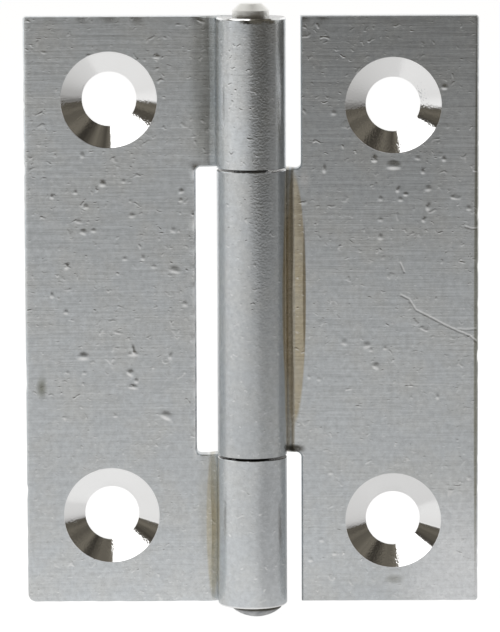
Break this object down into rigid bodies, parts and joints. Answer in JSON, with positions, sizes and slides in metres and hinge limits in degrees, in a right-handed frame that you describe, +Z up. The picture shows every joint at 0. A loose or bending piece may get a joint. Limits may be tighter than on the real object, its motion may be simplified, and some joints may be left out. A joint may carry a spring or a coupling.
{
  "type": "butt hinge",
  "caption": "Light pressed-steel butt hinge lying flat open, with rolled knuckles closed round a headed pin and countersunk screw holes in both leaves.",
  "frame": {"origin": "on the pin's axis, halfway along the leaves", "axes": "+Z up along the pin, +X towards the leaf with the middle knuckle, +Y out of the leaves' backs, so the countersunk faces look towards -Y"},
  "size_m": [0.0308, 0.0046, 0.0418],
  "materials": {
    "left_leaf": "bright zinc plating on rolled sheet, satin, with fine dents",
    "right_leaf": "bright zinc plating on rolled sheet, satin, with fine dents and scratches",
    "hinge_pin": "bright zinc plating on drawn wire"
  },
  "bodies": {
    "fixed_leaf": {"left_leaf": "left_leaf", "hinge_pin": "hinge_pin"},
    "moving_leaf": {"right_leaf": "right_leaf"}
  },
  "joints": [
    {"name": "leaf_swing", "type": "hinge", "parent": "fixed_leaf", "child": "moving_leaf", "pos_m": [0, 0, 0], "axis": [0, 0, -1], "range_deg": [-120, 180]}
  ]
}
